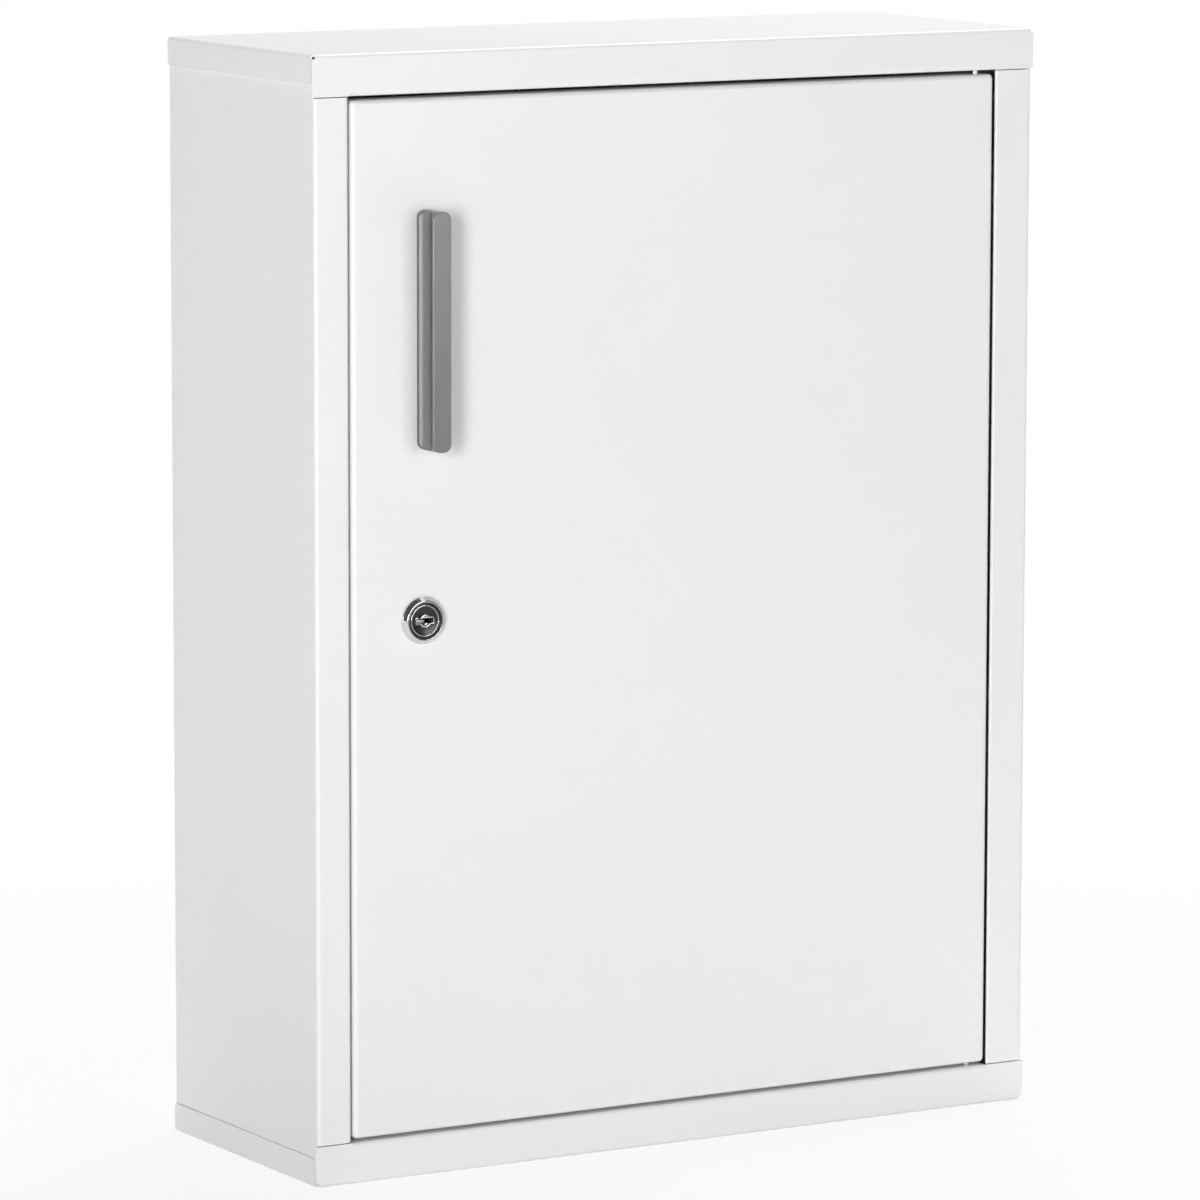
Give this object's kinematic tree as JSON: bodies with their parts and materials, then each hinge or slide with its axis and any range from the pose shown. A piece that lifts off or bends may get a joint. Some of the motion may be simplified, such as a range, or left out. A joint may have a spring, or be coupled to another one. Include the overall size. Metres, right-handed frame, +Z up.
{
  "type": "lockable medicine cabinet",
  "caption": "Wall-hung sheet-steel cabinet for medicines: folded shell, inset hinged door, scooped bar handle, quarter-turn cam lock and fixed shelves.",
  "frame": {"origin": "middle of the underside, halfway between the front face of the shell and the wall face", "axes": "+X to the right seen from the front, +Y back to the wall, +Z up"},
  "size_m": [0.344, 0.1421, 0.46],
  "materials": {
    "white_paint": "semi-gloss white powder coat",
    "zinc_plate": "bright zinc plating",
    "rubber_pad": "soft dark rubber",
    "white_nylon": "moulded nylon",
    "black_nylon": "moulded black nylon",
    "pole_steel": "plain steel",
    "satin_nickel": "satin grey metal plating",
    "lock_chrome": "polished chrome",
    "lock_face": "dark cap over a bright core"
  },
  "bodies": {
    "cabinet": {"top_cap": "white_paint", "bottom_tray": "white_paint", "left_side_panel": "white_paint", "right_side_panel": "white_paint", "back_panel": "white_paint", "left_upper_ledge": "white_paint", "right_upper_ledge": "white_paint", "left_lower_ledge": "white_paint", "right_lower_ledge": "white_paint", "upper_shelf": "white_paint", "lower_shelf": "white_paint", "upper_hinge_pin": "zinc_plate", "lower_hinge_pin": "zinc_plate", "door_bumpers": "rubber_pad", "catch_housing": "black_nylon", "catch_magnet": "pole_steel", "catch_screws": "zinc_plate"},
    "door": {"door_pan": "white_paint", "door_stiffener": "white_paint", "upper_hinge_bush": "white_nylon", "lower_hinge_bush": "white_nylon", "handle": "satin_nickel", "handle_screws": "zinc_plate", "handle_washers": "zinc_plate", "lock_barrel": "lock_chrome", "lock_nut": "zinc_plate"},
    "lock_core": {"lock_plug": "lock_face", "key_stop_washer": "zinc_plate", "lock_cam": "zinc_plate", "cam_screw": "zinc_plate"}
  },
  "joints": [
    {"name": "door_hinge", "type": "hinge", "parent": "cabinet", "child": "door", "pos_m": [0.1463, -0.0585, 0.23], "axis": [0, 0, 1], "range_deg": [0, 100]},
    {"name": "lock_turn", "type": "hinge", "parent": "door", "child": "lock_core", "pos_m": [-0.1224, -0.064, 0.2298], "axis": [0, -1, 0], "range_deg": [0, 90]}
  ]
}
